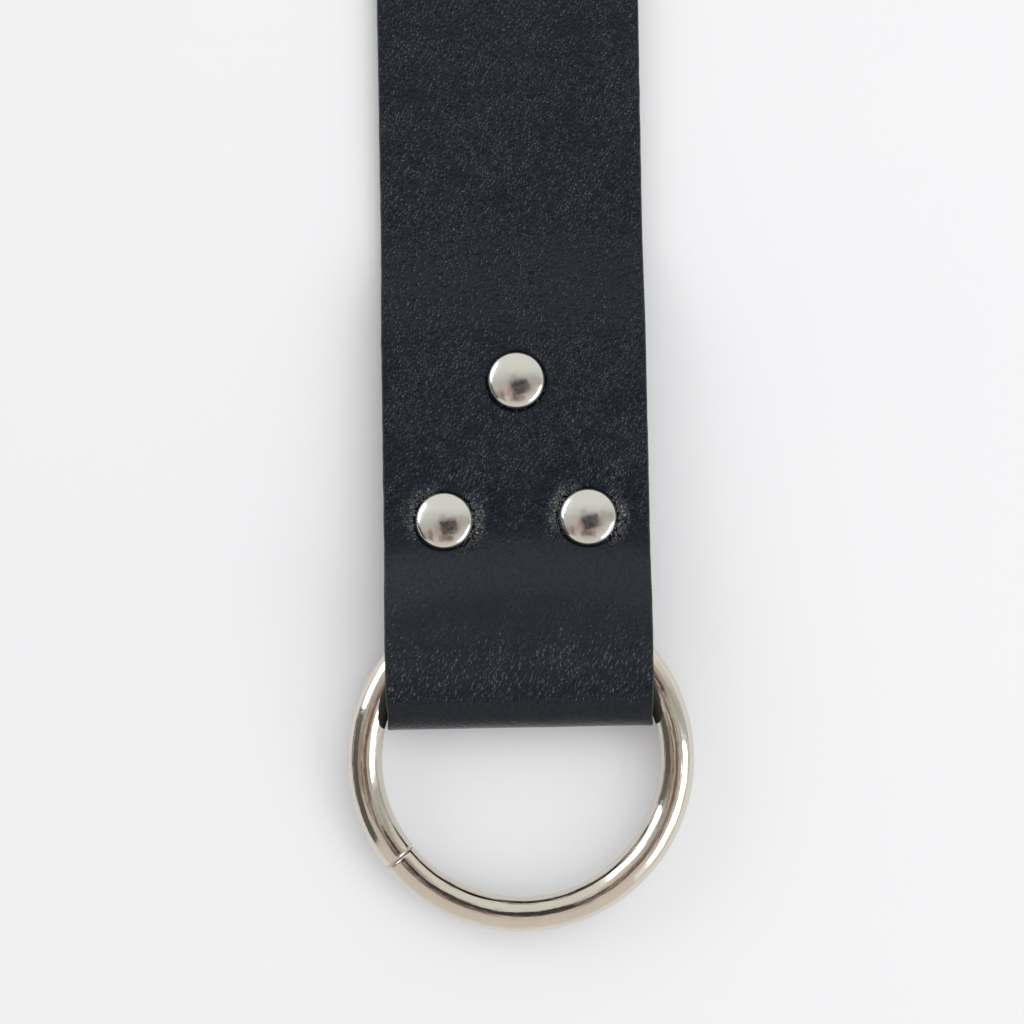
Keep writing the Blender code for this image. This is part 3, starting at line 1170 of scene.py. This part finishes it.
def add_window(name, azimuth, width, low, high, distance, soft, glint):
    """A window: its soft light, and its bright image in what is glossy."""
    size, middle = (width, high - low), (low + high) / 2
    add_light(name, size, facing(azimuth, distance, middle), soft, mirrored=False)
    add_light(f"{name}_image", size, facing(azimuth, distance - IMAGE_STEP, middle), glint, mirrored=True)
    wide = (size[0] * HALO, size[1] * HALO)
    behind = facing(azimuth, distance + IMAGE_STEP, middle)
    add_light(f"{name}_halo", wide, behind, HALO_RADIANCE, mirrored=True)


def add_card(name, hex_colour, size, place):
    """A card that is seen only where the metal and the leather mirror it."""
    card = add_plane(name, size, place, glow(name, hex_colour))
    card.visible_camera = False
    card.visible_diffuse = False
    card.visible_shadow = False


def overhead(x, y, height=0.31, turn=0):
    """A place above the belt, in metres, near the height of the camera."""
    return Matrix.Translation((x, y, height)) @ Matrix.Rotation(math.radians(turn), 4, "Z")


SKY = (  # towards -Y at -1, straight up at 0, towards +Y at 1, and the colour there
    (-1.0, "#e6dfd8"),
    (-0.3, "#ddd5cf"),
    (-0.12, "#c9c4c0"),
    (0.12, "#c0c1bf"),
    (0.5, "#ebece6"),
    (1.0, "#eeeeea"),
)


def make_sky():
    world = bpy.data.worlds.new("soft_room")
    bpy.context.scene.world = world
    world.use_nodes = True
    tree = world.node_tree
    way = add_node(tree, "ShaderNodeTexCoord").outputs["Generated"]
    parts = add_node(tree, "ShaderNodeSeparateXYZ", {"Vector": way})
    place = add_node(
        tree, "ShaderNodeMapRange", {"Value": parts.outputs["Y"], "From Min": -1.0, "From Max": 1.0}
    )
    ramp = add_node(tree, "ShaderNodeValToRGB", {"Fac": place.outputs[0]})
    stops = ramp.color_ramp.elements
    while len(stops) < len(SKY):
        stops.new(0.5)
    for stop, (y, hex_colour) in zip(stops, SKY):
        stop.position = (y + 1) / 2
        stop.color = linear(hex_colour)
    tree.links.new(ramp.outputs[0], tree.nodes["Background"].inputs["Color"])
    tree.nodes["Background"].inputs["Strength"].default_value = 1.0


FLOOR_GAP = 0.02 * MM  # keeps the floor clear of the leather that lies on it


def make_studio():
    add_plane("pale_floor", (5, 5), Matrix.Translation((0, 0, -FLOOR_GAP)), pale_board())
    add_window("left_window", 155, 1.65, 0.6, 1.95, 2.0, soft=1.4, glint=4.2)
    add_window("right_window", 333, 0.9, 0.5, 1.5, 1.2, soft=1.65, glint=4.2)
    above = Matrix.Translation((0.5, 0.22, 1.05))
    add_light("overhead_light", (1.1, 1.1), above, radiance=1.6, mirrored=False)
    add_card("dark_card", "#433e41", (0.15, 0.125), overhead(0.033, 0.004, turn=12))
    add_card("rose_card_left", "#c49a90", (0.03, 0.08), overhead(-0.062, -0.03, turn=-10))
    add_card("rose_card_right", "#bc9490", (0.03, 0.06), overhead(0.125, 0.0, turn=10))
    add_card("rose_card_top", "#b8948a", (0.05, 0.03), overhead(-0.02, 0.09, turn=20))
    add_card("brown_strip", "#4a3026", (0.022, 0.11), overhead(-0.118, -0.078, turn=8))
    add_card("tan_card_left", "#aa9a8e", (0.2, 0.1), overhead(-0.21, -0.09, height=0.33))
    add_card("tan_card_low", "#7a6a5d", (0.13, 0.05), overhead(0.012, -0.1, height=0.325))
    add_card("tan_card_right", "#b8b2aa", (0.4, 0.1), overhead(0.33, 0.06, height=0.33))
    add_card("green_card", "#5f625c", (0.98, 1.15), facing(194, 1.1, 0.65))


CAMERA_PLACE = (-0.644 * MM, -11.463 * MM, 300.3 * MM)
CAMERA_ROLL = math.radians(-1.01)
LENS = 71.85


def make_camera():
    data = bpy.data.cameras.new("camera")
    data.lens = LENS
    data.sensor_width = 36
    camera = bpy.data.objects.new("camera", data)
    bpy.context.scene.collection.objects.link(camera)
    camera.location = CAMERA_PLACE
    camera.rotation_euler = (0, 0, CAMERA_ROLL)
    bpy.context.scene.camera = camera


# The belt put together

leather = [full_grain_cowhide(), dyed_cut_edge(), brushed_flesh_side()]
strap = make_strap(leather)
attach(strap, "strap")
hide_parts("strap")

ring = make_ring(nickel_plate("ring_nickel_plate", "#dfd8cd", "#d6cec2", roughness=0.09, drawn_wire=True))
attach(ring, "ring")
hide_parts("ring")

rivet_finish = nickel_plate("rivet_nickel_plate", "#e2e0db", "#dad8d1", roughness=0.17)
tree = rivet_tree()
caps = make_rivets("rivet_caps", tree, cap_mesh(), rivet_finish, CAP_LEANS)
bases = make_rivets("rivet_bases", tree, base_mesh(), rivet_finish)
for piece, kind in ((caps, "cap"), (bases, "base")):
    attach(piece, "strap")
    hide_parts(*[f"rivet_{kind}_{side}" for side in ("left", "right", "middle")])

make_sky()
make_studio()
make_camera()
bpy.context.scene.view_settings.view_transform = "Standard"
